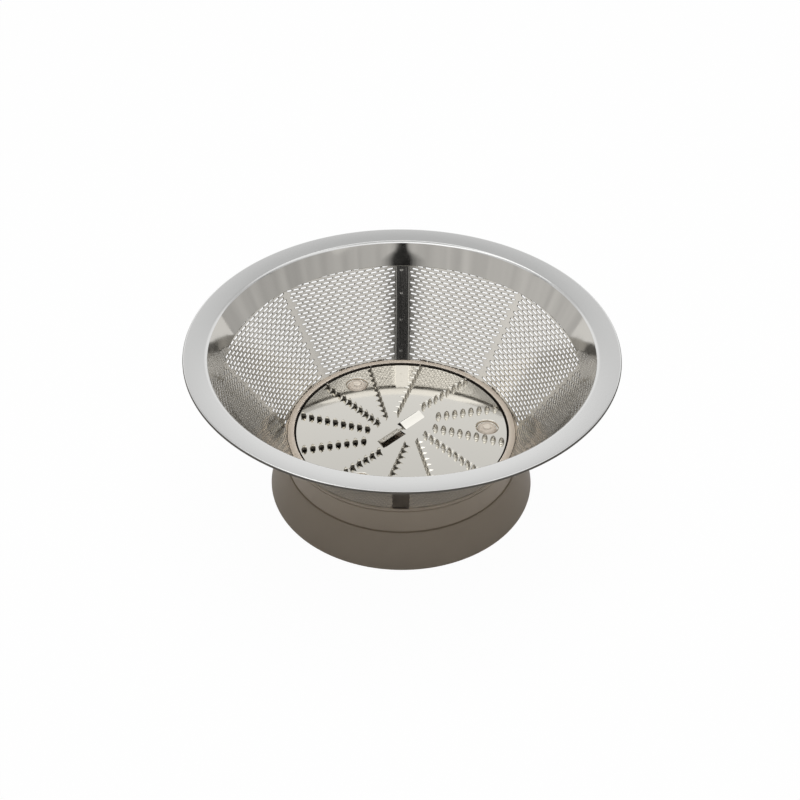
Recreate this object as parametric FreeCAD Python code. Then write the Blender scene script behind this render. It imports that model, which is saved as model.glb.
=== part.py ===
"""Filter basket of a centrifugal juicer: a conical mesh screen on a moulded base, with a grating disc."""
import FreeCAD, Part
import math
import os

Vector = FreeCAD.Vector
UP = Vector(0, 0, 1)
CENTRE = Vector(0, 0, 0)

# Overall sizes, in millimetres
rim_diameter = 178.0
overall_height = 74.0
foot_diameter = 114.4
base_height = 28.8
neck_diameter = 98.0

# Pressed steel rim
rim_sheet = 0.8
flange_width = 9.2
flange_rise = 0.9
band_height = 10.2
fold_radius = 1.6
edge_radius = 0.4
edge_drop = 1.0

# Etched mesh wall, in two half cones joined by a welded strip front and back
mesh_sheet = 0.5
mesh_lap = 3.4
mesh_insert = 2.2
seam_strip_width = 5.8
seam_strip_sheet = 0.5
seam_margin = 7.0
panel_rib = 1.6
panels_per_half = 4
slot_rows = 5
whole_slots = 2
slot_end_web = 3.4
slot_row_web = 2.7
slot_end_margin = 1.4

# Moulded base
skirt_height = 15.3
skirt_bulge = 0.5
foot_edge = 1.3
base_wall = 2.4
lip_width = 2.8
lip_crown = 0.5
lip_round = 0.7
bead_height = 1.8
bead_proud = 0.5
skirt_step = 0.45
seat_width = 3.0
relief_depth = 2.0
relief_overhang = 0.3
floor_drop = 4.2
floor_thickness = 2.2
rib_count = 6
rib_thickness = 1.8
rib_height = 6.5

# Drive socket under the base
bore_diameter = 12.0
bore_depth = 15.0
boss_wall = 6.0
boss_recess = 3.0
dog_count = 6
dog_width = 3.0
dog_depth = 3.0
dog_web = 1.8

# Grating disc
disc_sheet = 0.8
disc_recess = 0.4
disc_bevel = 0.4
row_count = 12
row_turn = 13.0
row_lead = 3.8
row_edge_margin = 2.3
row_starts = (17.0, 17.0, 9.5, 9.5, 9.5, 13.0)
tooth_pitch = 3.65
tooth_width = 2.6
tooth_length = 3.4
tooth_kerf = 0.25
tooth_web = 0.15
tooth_lift = 64.0

# Pair of slicing blades at the middle of the disc
blade_turn = 46.0
blade_start = 1.0
blade_length = 12.0
blade_width = 3.7
blade_hinge = 1.7
blade_rise = 2.0
blade_gap = 1.6

# Three moulded posts, staked over into dished holes in the disc
stake_count = 3
stake_turn = 3.0
stake_inset = 8.4
stake_shank_diameter = 4.8
stake_head_diameter = 8.8
stake_crown = 0.5
stake_nub_diameter = 3.4
dish_depth = 1.3
dish_slope = 0.55
boss_margin = 0.9

# Roundings smaller than this are drawn as bevels, which keeps the solids light
smallest_arc = 3.0

# Fits
weld_gap = 0.05
groove_gap = 0.1
disc_gap = 0.9
stake_gap = 0.15

# Worked out from the sizes above
rim_radius = rim_diameter / 2
neck_radius = neck_diameter / 2
foot_radius = foot_diameter / 2
lip_radius = neck_radius - lip_width
disc_radius = lip_radius - disc_gap
disc_top = base_height - disc_recess
disc_bottom = disc_top - disc_sheet
flange_slope = math.atan(flange_rise / flange_width)
edge_axis_radius = rim_radius - rim_sheet / 2
edge_axis_height = (overall_height - rim_sheet / 2 - edge_radius
                    + edge_radius * math.tan(flange_slope) + edge_radius / math.cos(flange_slope))
fold_axis_radius = rim_radius - flange_width
fold_axis_height = edge_axis_height - (flange_width - rim_sheet / 2) * math.tan(flange_slope)
cone_run = fold_axis_radius - neck_radius
cone_height = fold_axis_height - base_height
wall_offset = rim_sheet / 2 + weld_gap
cone_angle = math.atan2(cone_run, cone_height) + math.asin(wall_offset / math.hypot(cone_run, cone_height))
band_foot = overall_height - band_height
mesh_rise = mesh_sheet / math.cos(cone_angle)
mesh_foot = base_height - mesh_insert
mesh_head = band_foot + mesh_lap
collar_radius = neck_radius + mesh_rise
stake_circle = disc_radius - stake_inset
shank_radius = stake_shank_diameter / 2
head_radius = stake_head_diameter / 2
dish_radius = head_radius + stake_gap + dish_slope
blade_slot_edge = blade_width - blade_hinge + blade_gap


def wall_radius(height):
    """Radius of the mesh wall's inner face at a height."""
    return neck_radius + (height - base_height) * math.tan(cone_angle)


def section_point(radius, height):
    """Point of a lathe section, in the XZ plane."""
    return Vector(radius, 0, height)


def section_face(corners):
    """Closed section from (radius, height, rounding) corners, with an arc or a bevel at the rounded ones."""
    count = len(corners)
    points = [section_point(r, z) for r, z, rounding in corners]
    edges = []
    starts = []
    ends = []
    middles = []
    for i in range(count):
        corner = points[i]
        rounding = corners[i][2]
        before = (points[i - 1] - corner).normalize()
        after = (points[(i + 1) % count] - corner).normalize()
        if rounding <= 0:
            starts.append(corner)
            ends.append(corner)
            middles.append(None)
            continue
        half = before.getAngle(after) / 2
        bisector = (before + after).normalize()
        starts.append(corner + before * (rounding / math.tan(half)))
        ends.append(corner + after * (rounding / math.tan(half)))
        middles.append(corner + bisector * (rounding / math.sin(half) - rounding))
    for i in range(count):
        if corners[i][2] >= smallest_arc:
            edges.append(Part.Arc(starts[i], middles[i], ends[i]).toShape())
        elif corners[i][2] > 0:
            edges.append(Part.LineSegment(starts[i], ends[i]).toShape())
        following = starts[(i + 1) % count]
        if ends[i].distanceToPoint(following) > 1e-6:
            edges.append(Part.LineSegment(ends[i], following).toShape())
    return Part.Face(Part.Wire(edges))


def sheet_face(path, sheet):
    """Section of a bent sheet from its middle line, given as (radius, height, bend radius) points."""
    points = [section_point(r, z) for r, z, bend in path]
    left = []
    right = []
    for i, (r, z, bend) in enumerate(path):
        runs = []
        if i > 0:
            runs.append((points[i] - points[i - 1]).normalize())
        if i < len(path) - 1:
            runs.append((points[i + 1] - points[i]).normalize())
        normals = [Vector(-run.z, 0, run.x) for run in runs]
        miter = normals[0] + normals[-1]
        miter = miter * (sheet / miter.dot(miter))
        turn = 0
        if len(runs) == 2:
            turn = math.copysign(1, runs[0].z * runs[1].x - runs[0].x * runs[1].z)
        left_bend = bend + turn * sheet / 2 if bend > 0 else 0
        right_bend = bend - turn * sheet / 2 if bend > 0 else 0
        left.append((r + miter.x, z + miter.z, left_bend))
        right.append((r - miter.x, z - miter.z, right_bend))
    return section_face(left + right[::-1])


def lathe(face, angle=360):
    """Solid turned from a section about the upright axis."""
    return face.revolve(CENTRE, UP, angle)


def turned(shape, angle):
    """Copy of a shape turned about the upright axis, in degrees."""
    copy = shape.copy()
    copy.rotate(CENTRE, UP, angle)
    return copy


def polar_point(angle, along, across, height):
    """Point along a row that leaves the axis at an angle, and across it the way the disc spins."""
    a = math.radians(angle)
    x = along * math.cos(a) - across * math.sin(a)
    y = along * math.sin(a) + across * math.cos(a)
    return Vector(x, y, height)


def flat_face(points):
    """Face on a closed polygon."""
    return Part.Face(Part.makePolygon(points + points[:1]))


def polyhedron(faces):
    """Solid closed by polygons."""
    return Part.Solid(Part.Shell([flat_face(points) for points in faces]))


def make_rim_ring():
    """Flange with a turned-down edge, folded into the polished band that clamps the mesh."""
    band_foot_radius = fold_axis_radius - (fold_axis_height - band_foot) * math.tan(cone_angle)
    path = [(band_foot_radius, band_foot, 0),
            (fold_axis_radius, fold_axis_height, fold_radius),
            (edge_axis_radius, edge_axis_height, edge_radius),
            (edge_axis_radius, overall_height - edge_drop, 0)]
    return lathe(sheet_face(path, rim_sheet))


def wall_section(foot, head, inner_offset, sheet):
    """Section of a conical sheet between two heights, flat at both ends, outside or inside the wall."""
    inner = inner_offset / math.cos(cone_angle)
    outer = inner + sheet / math.cos(cone_angle)
    corners = [(wall_radius(foot) + inner, foot, 0), (wall_radius(foot) + outer, foot, 0),
               (wall_radius(head) + outer, head, 0), (wall_radius(head) + inner, head, 0)]
    return section_face(corners)


def slot_section(slant, height):
    """Section of a slot's cutter, square to the wall, at a distance up its slope."""
    reach = 3 * mesh_sheet
    corners = []
    for along, through in ((-1, -1), (-1, 1), (1, 1), (1, -1)):
        up = slant + along * height / 2
        out = through * reach
        corners.append((neck_radius + up * math.sin(cone_angle) + out * math.cos(cone_angle),
                        base_height + up * math.cos(cone_angle) - out * math.sin(cone_angle), 0))
    return section_face(corners)


def slot_spans(row):
    """Start and end of each slot of a row, in slot lengths: rows are shifted by half a slot in turn."""
    shift = 0.5 * (row % 2)
    row_end = whole_slots + 0.5
    return [(max(0, i - shift), min(row_end, i + 1 - shift)) for i in range(whole_slots + 1)]


def make_mesh_half(first_angle):
    """Half cone of etched sheet: panels of staggered slots between plain ribs and seam margins."""
    panel_angle = 180.0 / panels_per_half
    shell = turned(lathe(wall_section(mesh_foot, mesh_head, 0, mesh_sheet), 180), first_angle)
    slope_length = (band_foot - base_height) / math.cos(cone_angle)
    row_pitch = (slope_length + slot_row_web - 2 * slot_end_margin) / slot_rows
    cutters = []
    for row in range(slot_rows):
        slant = slot_end_margin + row_pitch * (row + 0.5) - slot_row_web / 2
        radius = neck_radius + slant * math.sin(cone_angle)
        section = slot_section(slant, row_pitch - slot_row_web)
        for panel in range(panels_per_half):
            start_margin = seam_margin / 2 if panel == 0 else panel_rib / 2
            end_margin = seam_margin / 2 if panel == panels_per_half - 1 else panel_rib / 2
            width = radius * math.radians(panel_angle) - start_margin - end_margin
            slot_pitch = (width + slot_end_web) / (whole_slots + 0.5)
            for left, right in slot_spans(row):
                slot_start = math.degrees((start_margin + left * slot_pitch) / radius)
                slot_angle = math.degrees(((right - left) * slot_pitch - slot_end_web) / radius)
                start_angle = first_angle + panel * panel_angle + slot_start
                cutters.append(turned(lathe(section, slot_angle), start_angle))
    return shell.cut(Part.makeCompound(cutters))


def make_seam_strip(angle):
    """Straight strip welded over the joint of the two half cones, on the inside."""
    inset = -weld_gap - seam_strip_sheet
    head = band_foot - rim_sheet / 2 * math.sin(cone_angle) - weld_gap
    sleeve = lathe(wall_section(base_height, head, inset, seam_strip_sheet))
    blank = Part.makeBox(rim_radius, seam_strip_width, overall_height, Vector(0, -seam_strip_width / 2, 0))
    return turned(sleeve.common(blank), angle)


def tooth_places():
    """Angle and distance along its row of each tooth that stays clear of the stakes."""
    places = []
    stakes = [Part.Vertex(point) for point in stake_points(disc_bottom)]
    for row in range(row_count):
        angle = row_turn + row * 360.0 / row_count
        along = disc_radius - row_edge_margin
        while along >= row_starts[row % len(row_starts)]:
            opening = flat_face(tooth_opening(angle, along))
            if all(opening.distToShape(stake)[0] > dish_radius + tooth_web for stake in stakes):
                places.append((angle, along))
            along -= tooth_pitch
    return places


def stake_points(height):
    """Axes of the staked posts at a height."""
    step = 360.0 / stake_count
    return [polar_point(stake_turn + i * step, stake_circle, 0, height) for i in range(stake_count)]


def tooth_opening(angle, along):
    """Three-cornered hole that a tooth was cut from, at the underside of the disc."""
    half = tooth_width / 2
    tip = row_lead + tooth_length + tooth_kerf
    return [polar_point(angle, along - half, row_lead, disc_bottom),
            polar_point(angle, along + half, row_lead, disc_bottom),
            polar_point(angle, along, tip, disc_bottom)]


def tooth_tab(angle, along):
    """Tooth bent up about its root, drawn to a point at its tip."""
    half = tooth_width / 2
    lift = math.radians(tooth_lift)
    tip = polar_point(angle, along, row_lead + tooth_length * math.cos(lift),
                      disc_top + tooth_length * math.sin(lift))
    a, b = [polar_point(angle, along + side * half, row_lead, disc_top) for side in (-1, 1)]
    c, d = [polar_point(angle, along + side * half, row_lead, disc_bottom) for side in (1, -1)]
    return polyhedron([[a, b, tip], [b, c, tip], [c, d, tip], [d, a, tip], [d, c, b, a]])


def blade_slot(angle):
    """Opening in front of a blade, from its hinge to past its edge, at the underside of the disc."""
    end = blade_start + blade_length
    corners = [(blade_start, -blade_hinge), (end, -blade_hinge), (end, blade_slot_edge),
               (blade_start, blade_slot_edge)]
    return [polar_point(angle, along, across, disc_bottom) for along, across in corners]


def blade_ramp(angle):
    """Blade bent up from its hinge, ground to an edge on top."""
    edge = blade_width - blade_hinge
    profile = [(-blade_hinge, disc_bottom), (-blade_hinge, disc_top), (edge, disc_top + blade_rise),
               (edge, disc_top + blade_rise - disc_sheet)]
    points = [polar_point(angle, blade_start, across, height) for across, height in profile]
    run = polar_point(angle, blade_length, 0, 0)
    return flat_face(points).extrude(run)


def make_dish():
    """Dished seat pressed into the disc under a stake's head, about the upright axis."""
    floor_radius = head_radius + stake_gap
    hole_radius = shank_radius + stake_gap
    path = [(hole_radius, -dish_depth, 0), (floor_radius, -dish_depth, 0), (dish_radius, 0, 0)]
    top = [(r, disc_top + z, 0) for r, z, bend in path]
    bottom = [(r, disc_top + z - disc_sheet, 0) for r, z, bend in path]
    return lathe(section_face(top + bottom[::-1]))


def make_grating_disc():
    """Flat disc with rows of raised teeth, two slicing blades and three dished stake holes."""
    blank = Part.Face(Part.Wire(Part.makeCircle(disc_radius, Vector(0, 0, disc_bottom), UP)))
    openings = [flat_face(tooth_opening(angle, along)) for angle, along in tooth_places()]
    openings += [flat_face(blade_slot(blade_turn + half)) for half in (0, 180)]
    for point in stake_points(disc_bottom):
        openings.append(Part.Face(Part.Wire(Part.makeCircle(dish_radius, point, UP))))
    plate = blank.cut(Part.makeCompound(openings)).extrude(UP * disc_sheet)
    bevel = [(disc_radius - disc_bevel, disc_top, 0), (disc_radius + disc_bevel, disc_top, 0),
             (disc_radius + disc_bevel, disc_top - 2 * disc_bevel, 0)]
    plate = plate.cut(lathe(section_face(bevel)))
    raised = [tooth_tab(angle, along) for angle, along in tooth_places()]
    raised += [blade_ramp(blade_turn + half) for half in (0, 180)]
    for point in stake_points(0):
        raised.append(make_dish().translated(point))
    return plate.fuse(raised).removeSplitter()


def base_section():
    """Half section of the base: lip, collar, skirt, drive boss, and the disc's seat with a relief groove."""
    bead_radius = collar_radius + bead_proud
    bead_foot = base_height - bead_height
    strip_seat_radius = wall_radius(base_height) - (2 * weld_gap + seam_strip_sheet) / math.cos(cone_angle)
    seat_radius = lip_radius - seat_width
    relief_radius = disc_radius - relief_overhang
    relief_floor = disc_bottom - relief_depth
    floor_top = disc_bottom - floor_drop
    floor_bottom = floor_top - floor_thickness
    bore_radius = bore_diameter / 2
    boss_radius = bore_radius + boss_wall
    inner_foot = foot_radius - foot_edge - base_wall
    inner_collar = collar_radius - base_wall
    skirt_top_radius = collar_radius + skirt_step
    half_run = (foot_radius - skirt_top_radius) / 2
    half_rise = (skirt_height - foot_edge) / 2
    half_chord = math.hypot(half_run, half_rise)
    apex_offset = 2 * skirt_bulge
    apex_radius = skirt_top_radius + half_run + apex_offset * half_rise / half_chord
    apex_height = foot_edge + half_rise + apex_offset * half_run / half_chord
    skirt_arc = math.hypot(half_chord, apex_offset) * half_chord / apex_offset
    return section_face([
        (lip_radius, relief_floor, 0),
        (lip_radius, base_height + lip_crown, lip_round),
        (strip_seat_radius, base_height, 0),
        (bead_radius, base_height, lip_round),
        (bead_radius, bead_foot, 0),
        (collar_radius, bead_foot, 0),
        (collar_radius, skirt_height, 0),
        (skirt_top_radius, skirt_height, 0),
        (apex_radius, apex_height, skirt_arc),
        (foot_radius, foot_edge, 0),
        (foot_radius - foot_edge, 0, 0),
        (inner_foot, 0, 0),
        (inner_collar, skirt_height - base_wall, 0),
        (inner_collar, floor_bottom, 0),
        (boss_radius, floor_bottom, 0),
        (boss_radius, boss_recess, 0),
        (bore_radius, boss_recess, 0),
        (bore_radius, boss_recess + bore_depth, 0),
        (0, boss_recess + bore_depth, 0),
        (0, floor_top, 0),
        (seat_radius, floor_top, 0),
        (seat_radius, disc_bottom, 0),
        (relief_radius, disc_bottom, 0),
        (relief_radius, relief_floor, 0)])


def make_stake():
    """Post with its boss and staked head, about the upright axis."""
    floor_top = disc_bottom - floor_drop
    dish_under = disc_top - dish_depth - disc_sheet
    dish_floor = disc_top - dish_depth
    boss_radius = shank_radius + stake_gap + boss_margin
    nub_radius = stake_nub_diameter / 2
    return lathe(section_face([
        (0, floor_top - floor_thickness / 2, 0),
        (boss_radius, floor_top - floor_thickness / 2, 0),
        (boss_radius, dish_under, 0),
        (shank_radius, dish_under, 0),
        (shank_radius, dish_floor, 0),
        (head_radius, dish_floor, 0),
        (head_radius, disc_top, stake_crown / 2),
        (nub_radius, disc_top + stake_crown, 0),
        (0, disc_top + stake_crown / 2, 0)]))


def make_base_hub():
    """One moulding: lip with the groove that holds the mesh, skirt, ribs, drive socket and stakes."""
    hub = lathe(base_section())
    floor_bottom = disc_bottom - floor_drop - floor_thickness
    boss_radius = bore_diameter / 2 + boss_wall
    rib_length = collar_radius - base_wall - boss_radius
    rib_start = Vector(boss_radius - boss_wall / 2, -rib_thickness / 2, floor_bottom - rib_height)
    rib = Part.makeBox(rib_length + boss_wall / 2 + base_wall / 2, rib_thickness,
                       rib_height + floor_thickness / 2, rib_start)
    added = [turned(rib, i * 360.0 / rib_count) for i in range(rib_count)]
    added += [make_stake().translated(point) for point in stake_points(0)]
    groove_sheet = mesh_sheet + 2 * groove_gap
    groove = lathe(wall_section(mesh_foot, base_height + bead_height, -groove_gap, groove_sheet))
    dog_start = Vector(bore_diameter / 2 + dog_web, -dog_width / 2, boss_recess - dog_depth)
    dog = Part.makeBox(boss_wall, dog_width, 2 * dog_depth, dog_start)
    removed = [turned(dog, (i + 0.5) * 360.0 / dog_count) for i in range(dog_count)]
    removed.append(groove)
    return hub.fuse(added).cut(Part.makeCompound(removed)).removeSplitter()


def main():
    """Builds every piece and writes one file each."""
    pieces = {
        "rim_ring": make_rim_ring(),
        "mesh_half_left": make_mesh_half(90),
        "mesh_half_right": make_mesh_half(-90),
        "seam_strip_back": make_seam_strip(90),
        "seam_strip_front": make_seam_strip(-90),
        "grating_disc": make_grating_disc(),
        "base_hub": make_base_hub(),
    }
    os.makedirs("parts", exist_ok=True)
    for name, shape in pieces.items():
        solids = shape.Solids
        print(name, "solids", len(solids), "valid", shape.isValid(), "volume", round(shape.Volume, 1))
        solid = solids[0] if len(solids) == 1 else shape
        solid.exportStep("parts/%s.step" % name)


main()
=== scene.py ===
"""Looks of a juicer's filter basket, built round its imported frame: rim, mesh, grating disc, moulded base."""
import bmesh
import bpy
import math
from mathutils import Matrix, Vector
from mathutils.geometry import delaunay_2d_cdt


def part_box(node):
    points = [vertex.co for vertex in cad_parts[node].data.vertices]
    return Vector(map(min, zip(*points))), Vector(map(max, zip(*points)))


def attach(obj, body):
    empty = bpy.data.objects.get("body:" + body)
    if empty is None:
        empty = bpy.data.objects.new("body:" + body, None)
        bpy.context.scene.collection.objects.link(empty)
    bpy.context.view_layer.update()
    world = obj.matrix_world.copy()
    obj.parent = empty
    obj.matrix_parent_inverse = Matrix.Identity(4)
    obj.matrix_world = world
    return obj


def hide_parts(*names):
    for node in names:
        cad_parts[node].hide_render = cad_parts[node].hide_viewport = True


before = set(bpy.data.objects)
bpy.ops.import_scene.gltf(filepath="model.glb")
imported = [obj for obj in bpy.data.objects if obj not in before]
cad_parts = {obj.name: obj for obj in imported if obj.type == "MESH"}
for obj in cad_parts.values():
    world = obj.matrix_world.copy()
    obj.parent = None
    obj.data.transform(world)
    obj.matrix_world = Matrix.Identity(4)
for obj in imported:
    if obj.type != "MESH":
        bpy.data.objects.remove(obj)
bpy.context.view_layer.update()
MM = 0.001

# Sizes read from the frame, in millimetres
rim_low, rim_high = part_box("rim_ring")
rim_radius = min(rim_high.x, rim_high.y, -rim_low.x, -rim_low.y) / MM
overall_height = rim_high.z / MM
base_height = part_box("seam_strip_back")[0].z / MM
mesh_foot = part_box("mesh_half_left")[0].z / MM
mesh_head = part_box("mesh_half_left")[1].z / MM
strip_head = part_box("seam_strip_back")[1].z / MM
disc_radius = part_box("grating_disc")[1].x / MM
foot_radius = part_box("base_hub")[1].x / MM

# Pressed rim
rim_sheet = 0.8
flange_width = 9.2
flange_rise = 0.9
band_height = 10.2
fold_radius = 1.6
edge_radius = 0.4
edge_drop = 1.0
sheet_edge_round = 0.15

# Mesh wall: the lattice was measured on the flat sheet
neck_radius = 49.0
mesh_sheet = 0.5
mesh_room = 0.5
weld_gap = 0.05
panel_count = 8
panel_rib = 1.5
seam_margin = 6.0
slot_pitch = 3.79
slot_row_pitch = 1.587
slot_length = 2.8
slot_height = 0.62
slot_end_back = 0.35
slot_side_back = 0.1
slot_shortest = 1.35
slot_reach = 1.0

# Seam strips and their weld spots, as heights on the wall
strip_width = 5.8
strip_sheet = 0.5
strip_edge_round = 0.08
weld_heights = (32.1, 43.7, 53.6, 62.2)
weld_offset = -0.5
weld_radius = 0.45
weld_depth = 0.06

# Grating disc and its rows of teeth
disc_recess = 0.4
disc_sheet = 0.8
disc_bevel = 0.2
row_count = 12
row_turn = 13.0
row_lead = 3.8
row_edge_margin = 2.3
row_starts = (17.0, 17.0, 9.5, 9.5, 9.5, 13.0)
tooth_pitch = 3.65
tooth_width = 2.6
tooth_length = 3.4
tooth_kerf = 0.25

# A tooth's tongue: its neck, its thinned part and the part of its underside painted dark as shade are shares
# of its length
tooth_tab_length = 3.1
tooth_lift = math.radians(64.0)
tooth_curl = math.radians(48.0)
tooth_bend = 0.7
tooth_taper = 2.5
tooth_roundness = 0.6
tooth_narrowing = 0.08
tooth_neck = 0.25
tooth_tip = 0.14
tooth_tip_sheet = 0.35
tooth_bow = 0.7
tooth_side_thinning = 0.7
tooth_thinned = 0.5
tooth_shaded_underside = 0.55
gullet_depth = 1.0
gullet_fullness = 1.3

# Blades
blade_turn = 46.0
blade_start = 1.0
blade_length = 12.0
blade_width = 3.7
blade_hinge = 1.7
blade_bend = (0.12, 0.02)
blade_rise = 2.0
blade_gap = 1.6
blade_grind = 1.1
blade_grind_drop = 0.25
blade_edge_sheet = 0.12
blade_side_gap = 0.15

# Moulded base
skirt_height = 15.3
skirt_step = 0.45
skirt_bulge = 0.5
skirt_arc_share = 0.9
foot_edge = 1.3
base_wall = 2.4
lip_width = 3.0
lip_crown = 0.5
# How far below the top of the base the painted highlight up the lip begins
lip_highlight_reach = 0.2
bead_height = 1.8
bead_proud = 0.5
score_depth = 0.55
score_width = 0.6
score_rise = 0.1
groove_gap = 0.1
seat_width = 1.6
relief_depth = 3.6
relief_overhang = 0.3
floor_drop = 4.2
floor_thickness = 2.2
rib_count = 6
rib_thickness = 1.8
rib_height = 6.5
bore_radius = 6.0
bore_depth = 15.0
boss_wall = 6.0
boss_recess = 3.0
dog_count = 6
dog_width = 3.0
dog_depth = 3.0
dog_web = 1.8

# Roundings of the base
lip_round = 0.7
seat_round = 0.2
crease_round = 0.12
groove_round = 0.1
bead_round = 0.45
bead_foot_round = 0.3
skirt_round = 0.3
mould_round = 0.5

# Staked posts
stake_count = 3
stake_turn = 3.0
stake_inset = 8.4
stake_shank = 2.4
stake_head = 4.4
stake_crown = 0.5
stake_clearance = 0.25
stake_gap = 0.15
stake_boss_margin = 0.9
stake_boss_round = 0.2
stake_fit_round = 0.1
stake_side = 0.5
stake_side_round = 0.3
shoulder_run = 0.9
shoulder_sink = 0.2
shoulder_round = 0.5
nub_radius = 1.7
nub_foot_run = 0.3
nub_foot_sink = 0.1
nub_foot_round = 0.3
nub_draft = 0.2
nub_round = 0.4
nub_hollow = 0.05

# Dishes that the posts sit in, with steps (inwards, down) at the brim and (outwards, up) at the floor
dish_depth = 1.3
dish_slope = 0.55
dish_brim_steps = ((0.12, 0.06), (0.25, 0.2))
dish_floor_steps = ((0.12, 0.2), (-0.12, 0.04), (-0.3, 0))

# How finely shapes are drawn, and how near points count as one
ring_segments = 288
stake_segments = 48
arc_step = math.radians(9)
end_steps = 4
panel_steps = 30
side_steps = 20
strip_columns = 28
strip_rows = 180
tooth_steps = 12
root_sides = (-1, -0.5, 0, 0.5, 1)
gullet_shares = (0.25, 0.48, 0.68, 0.84, 0.95, 1)
sharp_angle = math.radians(32)
level_normal = 0.99999
merge_distance = 0.002
sheet_tolerance = 1e-7
gap_margin = 0.01

# Worked out from the sizes above
flange_slope = math.atan(flange_rise / flange_width)
edge_axis_radius = rim_radius - rim_sheet / 2
edge_axis_height = (overall_height - rim_sheet / 2 - edge_radius
                    + edge_radius * math.tan(flange_slope) + edge_radius / math.cos(flange_slope))
fold_axis_radius = rim_radius - flange_width
fold_axis_height = edge_axis_height - (flange_width - rim_sheet / 2) * math.tan(flange_slope)
cone_run = fold_axis_radius - neck_radius
cone_height = fold_axis_height - base_height
wall_offset = rim_sheet / 2 + weld_gap
cone_angle = math.atan2(cone_run, cone_height) + math.asin(wall_offset / math.hypot(cone_run, cone_height))
cone_sine = math.sin(cone_angle)
cone_cosine = math.cos(cone_angle)
neck_slant = neck_radius / cone_sine
band_foot = overall_height - band_height
disc_top = base_height - disc_recess
disc_bottom = disc_top - disc_sheet
gullet_reach = tooth_length + tooth_kerf
lip_radius = neck_radius - lip_width
collar_radius = neck_radius + mesh_room / cone_cosine
floor_top = disc_bottom - floor_drop
floor_bottom = floor_top - floor_thickness
boss_radius = bore_radius + boss_wall
stake_circle = disc_radius - stake_inset
dish_radius = stake_head + stake_gap + dish_slope


def wall_radius(height):
    """Radius of the mesh wall's inner face at a height."""
    return neck_radius + (height - base_height) * math.tan(cone_angle)


def wall_slant(height):
    """Distance of a height from the cone's tip, along the wall."""
    return neck_slant + (height - base_height) / cone_cosine


def wall_point(angle, slant, depth):
    """Point of the wall at an angle and a distance from the cone's tip, at a depth behind its inner face."""
    radius = slant * cone_sine + depth * cone_cosine
    height = base_height + (slant - neck_slant) * cone_cosine - depth * cone_sine
    return Vector((radius * math.cos(angle), radius * math.sin(angle), height))


def row_point(angle, along, across, height):
    """Point along a row that leaves the axis at an angle in degrees, and across it the way of the spin."""
    a = math.radians(angle)
    x = along * math.cos(a) - across * math.sin(a)
    y = along * math.sin(a) + across * math.cos(a)
    return Vector((x, y, height))


def circle(radius, height, segments):
    """Points of a level circle about the upright axis."""
    turns = [2 * math.pi * k / segments for k in range(segments)]
    return [Vector((radius * math.cos(a), radius * math.sin(a), height)) for a in turns]


def rectangle(low, high, height):
    """Corners of a level rectangle, in turn, from two opposite ones."""
    return [(low[0], low[1], height), (high[0], low[1], height),
            (high[0], high[1], height), (low[0], high[1], height)]


def loop(first, size):
    """Indices of the points round a closed loop, back to the first of them."""
    return [first + k % size for k in range(size + 1)]


def quads(rows):
    """Faces between neighbouring rows of point indices."""
    faces = []
    for here, there in zip(rows[:-1], rows[1:]):
        faces += [[here[k], here[k + 1], there[k + 1], there[k]] for k in range(len(here) - 1)]
    return faces


def side_walls(front, back):
    """Faces along both sides of a sheet, between the grids of its front and its back."""
    faces = []
    for j in (0, -1):
        faces += quads([[line[j] for line in front], [line[j] for line in back]])
    return faces


def rounded(corners):
    """Points of a closed outline of (x, y, radius) corners, with arcs at the rounded ones."""
    points = []
    for i, (x, y, radius) in enumerate(corners):
        corner = Vector((x, y))
        if radius <= 0:
            points.append(corner)
            continue
        before = (Vector(corners[i - 1][:2]) - corner).normalized()
        after = (Vector(corners[(i + 1) % len(corners)][:2]) - corner).normalized()
        half = before.angle(after) / 2
        centre = corner + (before + after).normalized() * (radius / math.sin(half))
        start = corner + before * (radius / math.tan(half)) - centre
        end = corner + after * (radius / math.tan(half)) - centre
        turn = -start.angle_signed(end)
        steps = max(2, math.ceil(abs(turn) / arc_step))
        for k in range(steps + 1):
            points.append(centre + Matrix.Rotation(turn * k / steps, 2) @ start)
    return points


def sheet_section(path, sheet):
    """Section of a bent sheet from its middle line of (radius, height, bend) points, with rounded edges."""
    points = [Vector(p[:2]) for p in path]
    runs = [(there - here).normalized() for here, there in zip(points[:-1], points[1:])]
    left = []
    right = []
    for i, (r, z, bend) in enumerate(path):
        near = runs[max(0, i - 1):i + 1]
        normals = [Vector((-run.y, run.x)) for run in near]
        miter = normals[0] + normals[-1]
        miter = miter * (sheet / miter.dot(miter))
        grow = sheet_edge_round
        shrink = sheet_edge_round
        if len(near) == 2:
            turn = math.copysign(1, near[0].y * near[1].x - near[0].x * near[1].y)
            grow = bend + turn * sheet / 2
            shrink = bend - turn * sheet / 2
        left.append((r + miter.x, z + miter.y, grow))
        right.append((r - miter.x, z - miter.y, shrink))
    return rounded(left + right[::-1])


def shade(mesh):
    """Smooth shading with sharp edges at the corners; level faces stay flat shaded, as true mirrors."""
    mesh.shade_smooth()
    mesh.set_sharp_from_angle(angle=sharp_angle)
    for polygon in mesh.polygons:
        polygon.use_smooth = abs(polygon.normal.z) < level_normal


class Shape:
    """Points in millimetres, and faces with a kind that picks the material of each."""

    def __init__(self, points=(), faces=()):
        self.points = list(points)
        self.faces = list(faces)
        self.kinds = [0] * len(self.faces)

    def place(self, points):
        """Adds points and returns their indices."""
        first = len(self.points)
        self.points += points
        return list(range(first, len(self.points)))

    def add(self, faces, kind=0):
        """Adds faces of one kind."""
        self.faces += faces
        self.kinds += [kind] * len(faces)


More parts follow.
